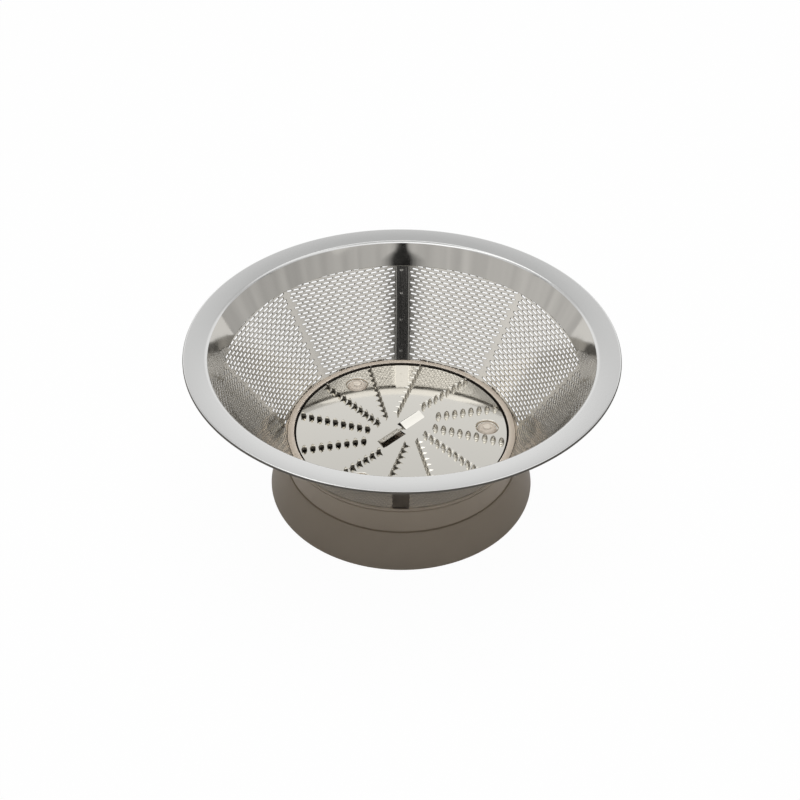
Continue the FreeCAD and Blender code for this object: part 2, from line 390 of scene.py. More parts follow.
def make_object(name, shape, materials):
    """Mesh object of a shape, with its near points merged and its faces turned outwards."""
    mesh = bpy.data.meshes.new(name)
    mesh.from_pydata([p * MM for p in shape.points], [], shape.faces)
    for material in materials:
        mesh.materials.append(material)
    mesh.polygons.foreach_set("material_index", shape.kinds)
    work = bmesh.new()
    work.from_mesh(mesh)
    bmesh.ops.remove_doubles(work, verts=work.verts, dist=merge_distance * MM)
    bmesh.ops.recalc_face_normals(work, faces=work.faces)
    work.to_mesh(mesh)
    work.free()
    shade(mesh)
    made = bpy.data.objects.new(name, mesh)
    bpy.context.scene.collection.objects.link(made)
    return made


def turned(section, segments):
    """Shape of a section of (radius, height) points turned about the upright axis."""
    shape = Shape()
    rings = []
    for radius, height in section:
        if radius == 0:
            rings.append(shape.place([Vector((0, 0, height))]) * (segments + 1))
        else:
            ring = shape.place(circle(radius, height, segments))
            rings.append(ring + ring[:1])
    faces = [list(dict.fromkeys(face)) for face in quads(rings + rings[:1])]
    shape.add([face for face in faces if len(face) > 2])
    return shape


KEEP_INSIDE = 1


def open_triangles(outline, holes):
    """Triangles of a flat sheet with holes, as indices into the outline's and the holes' points in turn."""
    points = []
    edges = []
    owner = []
    for number, closed in enumerate([outline] + holes):
        ends = loop(len(points), len(closed))
        edges += zip(ends[:-1], ends[1:])
        points += [Vector(p[:2]) for p in closed]
        owner += [number] * len(closed)
    made = delaunay_2d_cdt(points, edges, [], KEEP_INSIDE, sheet_tolerance)
    origin = [sources[0] for sources in made[3]]
    triangles = []
    for face in made[2]:
        corners = [origin[i] for i in face]
        owners = {owner[i] for i in corners}
        if len(owners) > 1 or owners == {0}:
            triangles.append(corners)
    return triangles


def add_node(tree, kind, inputs, output=None, **settings):
    """Adds a node, sets or links its inputs, and returns the named output or else the first in use."""
    made = tree.nodes.new("ShaderNode" + kind)
    for name, value in settings.items():
        setattr(made, name, value)
    for name, value in inputs.items():
        if isinstance(value, bpy.types.NodeSocket):
            tree.links.new(value, made.inputs[name])
        else:
            made.inputs[name].default_value = value
    if output:
        return made.outputs[output]
    return next((socket for socket in made.outputs if socket.enabled), None)


def linear(hex_colour):
    """Linear colour of an sRGB hex value."""
    shares = [int(hex_colour[i:i + 2], 16) / 255 for i in (0, 2, 4)]
    return [s / 12.92 if s <= 0.04045 else ((s + 0.055) / 1.055) ** 2.4 for s in shares] + [1.0]


def new_material(name, sockets):
    """Material with values on its shader, returned with its tree, shader and place in millimetres."""
    material = bpy.data.materials.new(name)
    material.use_nodes = True
    tree = material.node_tree
    shader = tree.nodes["Principled BSDF"]
    for socket, value in sockets.items():
        shader.inputs[socket].default_value = value
    place = add_node(tree, "TexCoord", {}, "Object")
    scaled = add_node(tree, "VectorMath", {0: place, "Scale": 1 / MM}, operation="SCALE")
    return material, tree, shader, scaled


def new_steel(name, colour):
    """Bare steel of one colour, returned as new_material does."""
    return new_material(name, {"Base Color": linear(colour), "Metallic": 1.0})


# Nearly all of a noise pattern lies between these two values
noise_low = 0.3
noise_high = 0.7


def vary_gloss(tree, shader, pattern, low, high):
    """Lets a pattern vary the roughness of a shader."""
    gloss = add_node(tree, "MapRange", {
        "Value": pattern, "From Min": noise_low, "From Max": noise_high, "To Min": low, "To Max": high})
    tree.links.new(gloss, shader.inputs["Roughness"])


def emboss(tree, shader, pattern, strength, depth):
    """Presses a pattern into the surface of a shader, to a depth in millimetres."""
    bump = add_node(tree, "Bump", {"Height": pattern, "Strength": strength, "Distance": depth * MM})
    tree.links.new(bump, shader.inputs["Normal"])


def satin_pressed_stainless():
    """Stainless sheet, pressed and satin finished on the lathe: soft even gloss with very fine rings."""
    ring_width = 0.35
    blotch_width = 22.0
    material, tree, shader, place = new_steel("stainless_sheet_satin_spun", "dcdcdb")
    flat = add_node(tree, "VectorMath", {0: place, 1: (1, 1, 0)}, operation="MULTIPLY")
    radius = add_node(tree, "VectorMath", {0: flat}, operation="LENGTH")
    rings = add_node(tree, "TexNoise", {
        "W": radius, "Scale": 1 / ring_width, "Detail": 3.0}, noise_dimensions="1D")
    stains = add_node(tree, "TexNoise", {"Vector": place, "Scale": 1 / blotch_width, "Detail": 2.0})
    both = add_node(tree, "Mix", {"Factor": 0.5, "A": rings, "B": stains}, data_type="FLOAT")
    vary_gloss(tree, shader, both, 0.13, 0.2)
    emboss(tree, shader, rings, 0.05, 0.02)
    return material


def polished_stainless():
    """Stainless sheet, buffed to a mirror: sharp reflections, a little wavy round the band."""
    wave_width = 14.0
    haze_width = 5.0
    material, tree, shader, place = new_steel("stainless_sheet_mirror_buffed", "c6c3bd")
    flat = add_node(tree, "VectorMath", {0: place, 1: (1, 1, 0)}, operation="MULTIPLY")
    way = add_node(tree, "VectorMath", {0: flat}, operation="NORMALIZE")
    waves = add_node(tree, "TexNoise", {
        "Vector": way, "Scale": fold_axis_radius / wave_width, "Detail": 1.0})
    haze = add_node(tree, "TexNoise", {"Vector": place, "Scale": 1 / haze_width, "Detail": 3.0})
    vary_gloss(tree, shader, haze, 0.05, 0.1)
    emboss(tree, shader, waves, 1.0, 0.13)
    return material


def marked_stainless(name, colour, mark_size, detail, gloss, relief=None):
    """Bare steel with marks of a size in millimetres along X, Y and Z, which vary its gloss and relief."""
    material, tree, shader, place = new_steel(name, colour)
    scaled = add_node(tree, "VectorMath", {0: place, 1: mark_size}, operation="DIVIDE")
    marks = add_node(tree, "TexNoise", {"Vector": scaled, "Scale": 1.0, "Detail": detail})
    vary_gloss(tree, shader, marks, *gloss)
    if relief:
        emboss(tree, shader, marks, *relief)
    return material


def etched_stainless():
    """Stainless foil, bright rolled before it was etched: a soft mirror, barely frosted."""
    frost = (0.8, 0.8, 0.8)
    return marked_stainless("stainless_foil_bright_rolled", "e3dfd7", frost, 3.0, gloss=(0.12, 0.2))


def shaded_cut_stainless(name, colour):
    """Stainless where it was cut, by acid or in a tool: matt, and darkened with painted shade, which draws the
    slots and holes.
    """
    frost = (0.3, 0.3, 0.3)
    return marked_stainless(name, colour, frost, 2.0, gloss=(0.4, 0.55))


def seam_shade_stainless():
    """Stainless foil painted dark brown outside, down each seam: painted shade, standing for the shaded base
    that the seam mirrors there.
    """
    blotch_width = 3.0
    material, tree, shader, place = new_material("stainless_foil_painted_seam_shade", {
        "Metallic": 1.0, "Roughness": 0.3})
    # Painted shade: soft blotches between two dark browns.
    shade_blotches = add_node(tree, "TexNoise", {"Vector": place, "Scale": 1 / blotch_width, "Detail": 2.0})
    tint = add_node(tree, "Mix", {
        "Factor": shade_blotches, "A": linear("2b231d"), "B": linear("3d332b")}, data_type="RGBA")
    tree.links.new(tint, shader.inputs["Base Color"])
    return material


def rolled_strip_stainless():
    """Stainless strip, bright rolled: a mirror with faint lines along the way it was rolled."""
    lines = (0.3, 30.0, 30.0)
    return marked_stainless("stainless_strip_bright_rolled", "c6c3bd", lines, 3.0,
                            gloss=(0.08, 0.16), relief=(0.15, 0.01))


def mirror_disc_stainless():
    """Stainless disc, punched and then polished: a mirror with hairline polishing marks."""
    hairs = (12.0, 0.25, 0.25)
    return marked_stainless("stainless_disc_mirror_polished", "f1eee6", hairs, 2.0,
                            gloss=(0.03, 0.08), relief=(0.06, 0.005))


def taupe_moulded_plastic():
    """ABS, moulded in a spark-eroded tool: matt with a fine grain, cloudy, and with a painted highlight that
    pales the lip up to its crest.
    """
    grain_width = 0.45
    cloud_width = 16.0
    material, tree, shader, place = new_material("abs_taupe_moulded", {
        "IOR": 1.5, "Specular IOR Level": 0.25})
    grain = add_node(tree, "TexNoise", {"Vector": place, "Scale": 1 / grain_width, "Detail": 3.0})
    clouds = add_node(tree, "TexNoise", {"Vector": place, "Scale": 1 / cloud_width, "Detail": 3.0})
    tint = add_node(tree, "Mix", {
        "Factor": clouds, "A": linear("a99c8c"), "B": linear("b0a393")}, data_type="RGBA")
    # Painted highlight: the colour pales towards d2c7ba up the lip, from a little below the top of the base to
    # the lip's crest.
    height = add_node(tree, "SeparateXYZ", {"Vector": place}, "Z")
    lip_highlight_share = add_node(tree, "MapRange", {
        "Value": height, "From Min": base_height - lip_highlight_reach, "From Max": base_height + lip_crown})
    lip_highlighted_tint = add_node(tree, "Mix", {"Factor": lip_highlight_share, "A": tint, "B": linear("d2c7ba")}, data_type="RGBA")
    tree.links.new(lip_highlighted_tint, shader.inputs["Base Color"])
    vary_gloss(tree, shader, grain, 0.42, 0.56)
    emboss(tree, shader, grain, 0.2, 0.04)
    return material


def taupe_staked_plastic():
    """The same ABS, melted and pressed into the stakes' heads: smoother, with painted shade low in the dish
    and a painted highlight paling up to the crown.
    """
    ripple_width = 2.5
    material, tree, shader, place = new_material("abs_taupe_heat_staked_painted_light", {"IOR": 1.5})
    ripple = add_node(tree, "TexNoise", {"Vector": place, "Scale": 1 / ripple_width, "Detail": 2.0})
    height = add_node(tree, "SeparateXYZ", {"Vector": place}, "Z")
    # Painted shade and highlight: darker at the head's foot in its dish, pale at its crown.
    crown_light_share = add_node(tree, "MapRange", {
        "Value": height, "From Min": disc_top - dish_depth, "From Max": disc_top + stake_crown})
    tint = add_node(tree, "Mix", {
        "Factor": crown_light_share, "A": linear("9c8d7e"), "B": linear("e2d8ca")}, data_type="RGBA")
    tree.links.new(tint, shader.inputs["Base Color"])
    vary_gloss(tree, shader, ripple, 0.18, 0.3)
    emboss(tree, shader, ripple, 0.4, 0.15)
    return material


def gap_shade_plastic():
    """The same ABS, painted dark as the shade in the narrow gap round the disc: a dark line beside the lip."""
    return new_material("abs_taupe_painted_gap_shade", {
        "Base Color": linear("352e28"), "Roughness": 0.6, "IOR": 1.5})[0]


FLANGE = 0
BAND = 1
SHEARED_SHADE = 2


def make_rim(satin, polished, sheared_shade_steel):
    """Flange with its edge turned down, folded into the polished band."""
    band_foot_radius = fold_axis_radius - (fold_axis_height - band_foot) * math.tan(cone_angle)
    path = [(band_foot_radius, band_foot, 0),
            (fold_axis_radius, fold_axis_height, fold_radius),
            (edge_axis_radius, edge_axis_height, edge_radius),
            (edge_axis_radius, overall_height - edge_drop, 0)]
    rim = turned(sheet_section(path, rim_sheet), ring_segments)
    fold_end = fold_axis_radius - fold_radius / 2
    # The band's lower end and the flange's outer edge get the sheared steel, darkened as painted shade: a dark
    # line along each edge.
    for number, face in enumerate(rim.faces):
        corners = [rim.points[i] for i in face]
        on_band = corners[0].xy.length < fold_end
        band_end = max(p.z for p in corners) < band_foot + sheet_edge_round
        outer_end = min(p.xy.length for p in corners) > rim_radius - edge_radius
        rim.kinds[number] = SHEARED_SHADE if band_end or outer_end else BAND if on_band else FLANGE
    return make_object("rim_pressing", rim, (satin, polished, sheared_shade_steel))


FOIL_FACE = 0
SLOT_WALL = 1
SEAM_SHADE = 2


def slot_outline(left, right, middle, etched):
    """Round-ended slot in the flat sheet; where it is etched back it is longer and a little wider."""
    radius = slot_height / 2 + etched * slot_side_back
    reach = etched * slot_end_back - radius
    points = []
    for x, start in ((right + reach, -90), (left - reach, 90)):
        for k in range(end_steps + 1):
            a = math.radians(start + 180 * k / end_steps)
            points.append((x + radius * math.cos(a), middle + radius * math.sin(a)))
    return points


def panel_slots(half_angle, low_margin, high_margin):
    """Left end, right end and middle height of each slot of a flat panel, cut short where it meets a rib."""
    low = wall_slant(base_height - slot_reach)
    high = wall_slant(band_foot + slot_reach)
    slots = []
    first_row = math.ceil(low * math.cos(half_angle) / slot_row_pitch)
    last_row = math.floor(high / slot_row_pitch)
    for row in range(first_row, last_row + 1):
        middle = row * slot_row_pitch
        edge = (middle - slot_height / 2 - slot_side_back) * math.tan(half_angle)
        left_edge = -edge + low_margin / math.cos(half_angle) + slot_end_back
        right_edge = edge - high_margin / math.cos(half_angle) - slot_end_back
        across = math.ceil(edge / slot_pitch) + 1
        for column in range(-across, across + 1):
            centre = (column + 0.5 * (row % 2)) * slot_pitch
            left = max(centre - slot_length / 2, left_edge)
            right = min(centre + slot_length / 2, right_edge)
            sides = (middle - slot_height / 2, middle + slot_height / 2)
            slants = [math.hypot(x, y) for x in (left, right) for y in sides]
            if right - left >= slot_shortest and min(slants) > low and max(slants) < high:
                slots.append((left, right, middle))
    return slots


def flat_point(slant, turn):
    """Point of the flat sheet at a distance from the cone's tip and an angle from the panel's middle."""
    return slant * math.sin(turn), slant * math.cos(turn)


def add_panel(screen, mid_angle, low_margin, high_margin, closed_low, closed_high):
    """One panel of the mesh: both faces of the sheet, the etched walls of its slots and its outer edges."""
    half_angle = math.pi / panel_count * cone_sine
    foot = wall_slant(mesh_foot)
    head = wall_slant(mesh_head) - mesh_room * cone_sine / cone_cosine
    across = [half_angle * (2 * k / panel_steps - 1) for k in range(panel_steps)]
    upward = [foot + (head - foot) * k / side_steps for k in range(side_steps)]
    downward = [head + (foot - head) * k / side_steps for k in range(side_steps)]
    outline = [flat_point(foot, turn) for turn in across]
    outline += [flat_point(slant, half_angle) for slant in upward]
    outline += [flat_point(head, -turn) for turn in across]
    outline += [flat_point(slant, -half_angle) for slant in downward]
    slots = panel_slots(half_angle, low_margin, high_margin)
    holes = [slot_outline(*slot, True) for slot in slots]
    waists = [slot_outline(*slot, False) for slot in slots]
    triangles = open_triangles(outline, holes)
    flat = outline + [p for hole in holes for p in hole]

    def placed(sheet, depth):
        spots = [(mid_angle + math.atan2(x, y) / cone_sine, math.hypot(x, y)) for x, y in sheet]
        return screen.place([wall_point(angle, slant, depth) for angle, slant in spots])[0]

    inner = placed(flat, 0)
    outer = placed(flat, mesh_sheet)
    waist = placed([p for hole in waists for p in hole], mesh_sheet / 2)
    screen.add([[inner + i for i in t] for t in triangles], FOIL_FACE)
    for t in triangles:
        middle = sum((Vector(flat[i]) for i in t), Vector((0, 0))) / 3
        turn = math.atan2(middle.x, middle.y)
        past_low = closed_low and middle.length * math.sin(half_angle + turn) < low_margin
        past_high = closed_high and middle.length * math.sin(half_angle - turn) < high_margin
        # Past the seam margins the outer face gets the painted seam shade.
        screen.add([[outer + i for i in reversed(t)]], SEAM_SHADE if past_low or past_high else FOIL_FACE)
    # The slots' etched walls get the cut steel, darkened as painted shade round each slot.
    size = 2 * (end_steps + 1)
    for first in range(0, len(slots) * size, size):
        starts = (inner + len(outline), waist, outer + len(outline))
        screen.add(quads([loop(start + first, size) for start in starts]), SLOT_WALL)
    edges = quads([loop(inner, len(outline)), loop(outer, len(outline))])
    for k, edge in enumerate(edges):
        on_high = panel_steps <= k < panel_steps + side_steps
        on_low = k >= 2 * panel_steps + side_steps
        if (closed_high or not on_high) and (closed_low or not on_low):
            screen.add([edge], FOIL_FACE)


def make_screen(name, first_angle, foil, slot_wall, seam_shade):
    """Half cone of etched foil: four panels of slots between plain ribs, with plain margins at the seams."""
    screen = Shape()
    half_count = panel_count // 2
    for number in range(half_count):
        at_start = number == 0
        at_end = number == half_count - 1
        low_margin = seam_margin / 2 if at_start else panel_rib / 2
        high_margin = seam_margin / 2 if at_end else panel_rib / 2
        mid_angle = first_angle + (number + 0.5) * 2 * math.pi / panel_count
        add_panel(screen, mid_angle, low_margin, high_margin, at_start, at_end)
    return make_object(name, screen, (foil, slot_wall, seam_shade))


def strip_sink(slant, offset):
    """How far the strip's face lies below its plane, at its rounded edges and its weld spots."""
    over = max(0, abs(offset) - strip_width / 2 + strip_edge_round)
    sink = strip_edge_round - math.sqrt(max(0, strip_edge_round ** 2 - over ** 2))
    for height in weld_heights:
        away = math.hypot(slant - wall_slant(height), offset - weld_offset) / weld_radius
        sink += weld_depth * math.exp(-away ** 2)
    return sink


def make_seam_strip(name, side, strip_steel):
    """Strip over a seam, with rounded edges and a row of shallow weld spots."""
    foot = wall_slant(base_height)
    head = wall_slant(strip_head) - weld_gap
    strip = Shape()
    grids = []
    for face_depth, shaped in ((-weld_gap - strip_sheet, True), (-weld_gap, False)):
        grid = []
        for i in range(strip_rows + 1):
            slant = foot + (head - foot) * i / strip_rows
            line = []
            for j in range(strip_columns + 1):
                offset = math.sin(math.pi / 2 * (2 * j / strip_columns - 1)) * strip_width / 2
                depth = face_depth + strip_sink(slant, offset) if shaped else face_depth
                line.append(wall_point(side - offset / (slant * cone_sine), slant, depth))
            grid.append(strip.place(line))
        grids.append(grid)
    front, back = grids
    strip.add(quads(front) + quads(back) + side_walls(front, back))
    strip.add(quads([front[0], back[0]]) + quads([front[-1], back[-1]]))
    return make_object(name, strip, (strip_steel,))


def stake_places():
    """Middles of the staked posts."""
    step = 360.0 / stake_count
    return [row_point(stake_turn + i * step, stake_circle, 0, 0) for i in range(stake_count)]


def tooth_places():
    """Angle and distance along its row of each tooth."""
    places = []
    for row in range(row_count):
        along = disc_radius - row_edge_margin
        while along >= row_starts[row % len(row_starts)]:
            places.append((row_turn + row * 360.0 / row_count, along))
            along -= tooth_pitch
    return places


def gullet_half(share):
    """Half width of the gullet in front of a tooth, at a share of its length."""
    return max(tooth_tip / 2, tooth_width / 2 * (1 - share ** gullet_fullness))


def tooth_hole():
    """Outline of a tooth's gullet, as (along, across) points that start with the tooth's root."""
    root = [(tooth_width / 2 * side, 0) for side in root_sides]
    right = [(gullet_half(share), gullet_reach * share) for share in gullet_shares]
    return root + right + [(-u, v) for u, v in reversed(right)]


def tooth_turn(share):
    """Steepness of a tooth at a share of its length: bent at the root, then curling up to the tip."""
    bend_share = tooth_bend / tooth_tab_length
    curled = max(0, share - bend_share) / (1 - bend_share)
    return tooth_lift * min(1, share / bend_share) + tooth_curl * curled


def tooth_tab():
    """Tooth bent up from its root: rows of (along, across, up) points of its upper and its under side."""
    upper = []
    under = []
    across = 0
    up = 0
    step = tooth_tab_length / tooth_steps
    for i in range(tooth_steps + 1):
        share = i / tooth_steps
        turn = tooth_turn(share)
        if i > 0:
            middle_turn = tooth_turn(share - 0.5 / tooth_steps)
            across += step * math.cos(middle_turn)
            up += step * math.sin(middle_turn)
        half = max(tooth_tip, tooth_width / 2 * (1 - share ** tooth_taper) ** tooth_roundness)
        half *= 1 - tooth_narrowing * min(1, share / tooth_neck)
        thick = disc_sheet + (tooth_tip_sheet - disc_sheet) * share
        for rows, depth in ((upper, 0), (under, thick)):
            row = []
            for side in root_sides:
                lift = tooth_bow * math.sin(math.pi * share) * (1 - side * side)
                lift -= depth * (1 - tooth_side_thinning * min(1, share / tooth_thinned) * side * side)
                row.append((half * side, across - lift * math.sin(turn), up + lift * math.cos(turn)))
            rows.append(row)
    return upper, under


def blade_hole():
    """Opening round a blade, as (along, across) points that start with its hinge."""
    end = blade_start + blade_length
    edge = blade_width - blade_hinge + blade_gap
    return [(blade_start, -blade_hinge), (end, -blade_hinge), (end, edge), (blade_start, edge)]


def blade_tab():
    """Blade bent up from its hinge and ground to an edge: rows of points of its upper and its under side."""
    lift = math.atan2(blade_rise, blade_width)
    grind = blade_width - blade_grind
    edge = (blade_width, blade_rise - blade_grind_drop)
    upper = []
    under = []
    for across, up in ((0, 0), blade_bend, (grind, grind * math.tan(lift)), edge):
        inset = blade_side_gap if across > 0 else 0
        thick = blade_edge_sheet if across == blade_width else disc_sheet
        ends = (blade_start + inset, blade_start + blade_length - inset)
        upper.append([(along, across - blade_hinge, up) for along in ends])
        under.append([(along, across - blade_hinge, up - thick) for along in ends])
    return upper, under


DISC_FACE = 0
CUT_SHADE = 1
TOOTH_FLANK = 2


def add_gullet(disc, angle, along, first_top, first_under):
    """Polished scoop pressed down in front of a tooth, from the point of its cut to the slit at its root."""
    size = len(tooth_hole())
    grids = []
    for first, drop in ((first_top, 0), (first_under, disc_sheet)):
        grid = []
        for i, share in enumerate((0, *gullet_shares)):
            across = row_lead + gullet_reach * share
            scoop = []
            for side in root_sides[1:-1]:
                depth = drop + gullet_depth * (1 - share) * (1 - side * side)
                scoop.append(row_point(angle, along + gullet_half(share) * side, across, disc_top - depth))
            grid.append([first + -i % size] + disc.place(scoop) + [first + len(root_sides) - 1 + i])
        grids.append(grid)
    top, below = grids
    disc.add(quads(top) + quads(below), DISC_FACE)
    # The gullet's end walls get the cut steel, darkened as painted shade.
    disc.add(quads([top[0], below[0]]) + quads([top[-1], below[-1]]), CUT_SHADE)


def add_tab(disc, place, tab, first_top, first_under):
    """Tooth or blade that stands at the root of its cut, where it joins the sheet."""
    angle, along, lead = place
    size = len(tab[0][0])
    grids = []
    for first, rows in zip((first_top, first_under), tab):
        grid = [[first + k for k in range(size)]]
        for row in rows[1:]:
            grid.append(disc.place([row_point(angle, along + u, lead + v, disc_top + w) for u, v, w in row]))
        grids.append(grid)
    top, below = grids
    last = len(top) - 1
    for i in range(last):
        upper = quads(top[i:i + 2])
        # A tooth's outer columns on top get the darker flank steel: painted shade down its sides.
        if size == len(root_sides):
            disc.add([upper[0], upper[-1]], TOOTH_FLANK)
            upper = upper[1:-1]
        disc.add(upper, DISC_FACE)
        # Near its root the tongue's underside gets the cut steel, darkened as painted shade.
        disc.add(quads(below[i:i + 2]), CUT_SHADE if i < tooth_shaded_underside * last else DISC_FACE)
    # Its side walls and tip end get the darker flank steel as painted shade.
    disc.add(side_walls(top, below) + quads([top[-1], below[-1]]), TOOTH_FLANK)


def add_dish(disc, middle, first_top, first_under):
    """Dished seat pressed round a post's hole, joined to the disc's upper and under side."""
    floor = stake_head + stake_gap
    steps = [(dish_radius - inwards, -down) for inwards, down in dish_brim_steps]
    steps += [(floor + outwards, up - dish_depth) for outwards, up in dish_floor_steps]
    steps.append((stake_shank + stake_gap, -dish_depth))
    rings = [loop(first_top, stake_segments)]
    for radius, drop in steps + [(r, z - disc_sheet) for r, z in reversed(steps)]:
        ring = disc.place([middle + p for p in circle(radius, disc_top + drop, stake_segments)])
        rings.append(ring + ring[:1])
    rings.append(loop(first_under, stake_segments))
    disc.add(quads(rings), DISC_FACE)


def make_grating_disc(steel, sheared_shade, flank_shade):
    """Polished disc with rows of raised teeth, two ground blades and three dished seats, in one sheet."""
    blade_angles = (blade_turn, blade_turn + 180)
    holes = []
    for angle, along in tooth_places():
        holes.append([row_point(angle, along + u, row_lead + v, 0) for u, v in tooth_hole()])
    for angle in blade_angles:
        holes.append([row_point(angle, u, v, 0) for u, v in blade_hole()])
    for middle in stake_places():
        holes.append([middle + p for p in circle(dish_radius, 0, stake_segments)])
    outline = circle(disc_radius - disc_bevel, 0, ring_segments)
    triangles = open_triangles(outline, holes)
    rims = [p for hole in holes for p in hole]
    disc = Shape(p + Vector((0, 0, disc_top)) for p in outline + rims)
    under = disc.place(circle(disc_radius, disc_bottom, ring_segments))[0]
    disc.place([p + Vector((0, 0, disc_bottom)) for p in rims])
    brink = disc.place(circle(disc_radius, disc_top - disc_bevel, ring_segments))[0]
    disc.add(triangles + [[under + i for i in reversed(t)] for t in triangles], DISC_FACE)
    disc.add(quads([loop(first, ring_segments) for first in (0, brink, under)]), DISC_FACE)
    first = ring_segments
    for angle, along in tooth_places():
        add_gullet(disc, angle, along, first, under + first)
        add_tab(disc, (angle, along, row_lead), tooth_tab(), first, under + first)
        first += len(tooth_hole())
    for angle in blade_angles:
        size = len(blade_hole())
        beside_hinge = [loop(start, size)[1:] for start in (first, under + first)]
        # The opening's walls beside the hinge get the cut steel, darkened as painted shade.
        disc.add(quads(beside_hinge), CUT_SHADE)
        add_tab(disc, (angle, 0, 0), blade_tab(), first, under + first)
        first += size
    for middle in stake_places():
        add_dish(disc, middle, first, under + first)
        first += stake_segments
    return make_object("grating_disc_steel", disc, (steel, sheared_shade, flank_shade))


def base_section():
    """Half section of the base with its roundings: lip, groove, bead, collar, skirt, floor, drive boss."""
    inner_gap = groove_gap / cone_cosine
    outer_gap = (mesh_room + groove_gap) / cone_cosine
    bead_radius = collar_radius + bead_proud
    bead_foot = base_height - bead_height
    strip_seat = wall_radius(base_height) - (2 * weld_gap + strip_sheet) / cone_cosine
    seat_radius = lip_radius - seat_width
    relief_radius = disc_radius - relief_overhang
    relief_floor = disc_bottom - relief_depth
    inner_foot = foot_radius - foot_edge - base_wall
    inner_collar = collar_radius - base_wall
    skirt_top = collar_radius + skirt_step
    half_run = (foot_radius - skirt_top) / 2
    half_rise = (skirt_height - foot_edge) / 2
    half_chord = math.hypot(half_run, half_rise)
    apex_offset = 2 * skirt_bulge
    apex_radius = skirt_top + half_run + apex_offset * half_rise / half_chord
    apex_height = foot_edge + half_rise + apex_offset * half_run / half_chord
    skirt_arc = skirt_arc_share * math.hypot(half_chord, apex_offset) * half_chord / apex_offset
    return rounded([
        (lip_radius, relief_floor, seat_round),
        (lip_radius, disc_bottom, 0),
        (lip_radius, base_height + lip_crown, lip_round / 4),
        (strip_seat, base_height, lip_round),
        (wall_radius(base_height) - inner_gap, base_height, crease_round),
        (wall_radius(mesh_foot) - inner_gap, mesh_foot, 0),
        (wall_radius(mesh_foot) + outer_gap, mesh_foot, 0),
        (wall_radius(base_height) + outer_gap, base_height, groove_round),
        (bead_radius, base_height, bead_round),
        (bead_radius, bead_foot + bead_height / 3, bead_foot_round),
        (collar_radius - score_depth, bead_foot - score_rise, crease_round),
        (collar_radius, bead_foot - score_width, crease_round),
        (collar_radius, skirt_height + score_width, crease_round),
        (collar_radius - score_depth, skirt_height + score_rise, crease_round),
        (skirt_top, skirt_height, skirt_round),
        (apex_radius, apex_height, skirt_arc),
        (foot_radius, foot_edge, foot_edge / 2),
        (foot_radius - foot_edge, 0, foot_edge / 2),
        (inner_foot, 0, mould_round),
        (inner_collar, skirt_height - base_wall, 2 * mould_round),
        (inner_collar, floor_bottom, 2 * mould_round),
        (boss_radius, floor_bottom, 2 * mould_round),
        (boss_radius, boss_recess, mould_round),
        (bore_radius, boss_recess, mould_round),
        (bore_radius, boss_recess + bore_depth, mould_round),
        (0, boss_recess + bore_depth, 0),
        (0, floor_top, 0),
        (seat_radius, floor_top, mould_round),
        (seat_radius, disc_bottom, seat_round),
        (relief_radius, disc_bottom, seat_round),
        (relief_radius, relief_floor, seat_round)])


def stake_section():
    """Half section of a post with its boss and its staked, domed head."""
    boss_foot = floor_top - floor_thickness / 2
    dish_floor = disc_top - dish_depth
    boss = stake_shank + stake_gap + stake_boss_margin
    head = stake_head - stake_clearance
    return rounded([
        (0, boss_foot, 0),
        (boss, boss_foot, 0),
        (boss, dish_floor - disc_sheet, stake_boss_round),
        (stake_shank, dish_floor - disc_sheet, stake_fit_round),
        (stake_shank, dish_floor, stake_fit_round),
        (head, dish_floor, stake_fit_round),
        (head, dish_floor + stake_side, stake_side_round),
        (head - shoulder_run, disc_top - shoulder_sink, shoulder_round),
        (nub_radius + nub_foot_run, disc_top - nub_foot_sink, nub_foot_round),
        (nub_radius - nub_draft, disc_top + stake_crown, nub_round),
        (0, disc_top + stake_crown - nub_hollow, 0)])


def make_box(low, high, angle):
    """Box between two corners, turned about the upright axis."""
    turn = Matrix.Rotation(angle, 3, "Z")
    points = [turn @ Vector(p) for z in (low.z, high.z) for p in rectangle(low, high, z)]
    return Shape(points, [[3, 2, 1, 0], [4, 5, 6, 7]] + quads([loop(0, 4), loop(4, 4)]))


def combine(base, tool, operation):
    """Joins a tool into the base or cuts it out, and removes the tool."""
    change = base.modifiers.new("combine", "BOOLEAN")
    change.operation = operation
    change.object = tool
    change.solver = "EXACT"
    graph = bpy.context.evaluated_depsgraph_get()
    made = bpy.data.meshes.new_from_object(base.evaluated_get(graph))
    base.modifiers.remove(change)
    base.data = made
    bpy.data.objects.remove(tool)


def joined_tools(name, shapes, plastic):
    """One object of several separate closed shapes."""
    whole = Shape()
    for shape in shapes:
        first = whole.place(shape.points)[0]
        whole.add([[first + i for i in face] for face in shape.faces])
    return make_object(name, whole, (plastic,))


MOULDED = 0
STAKE = 1
GAP = 2


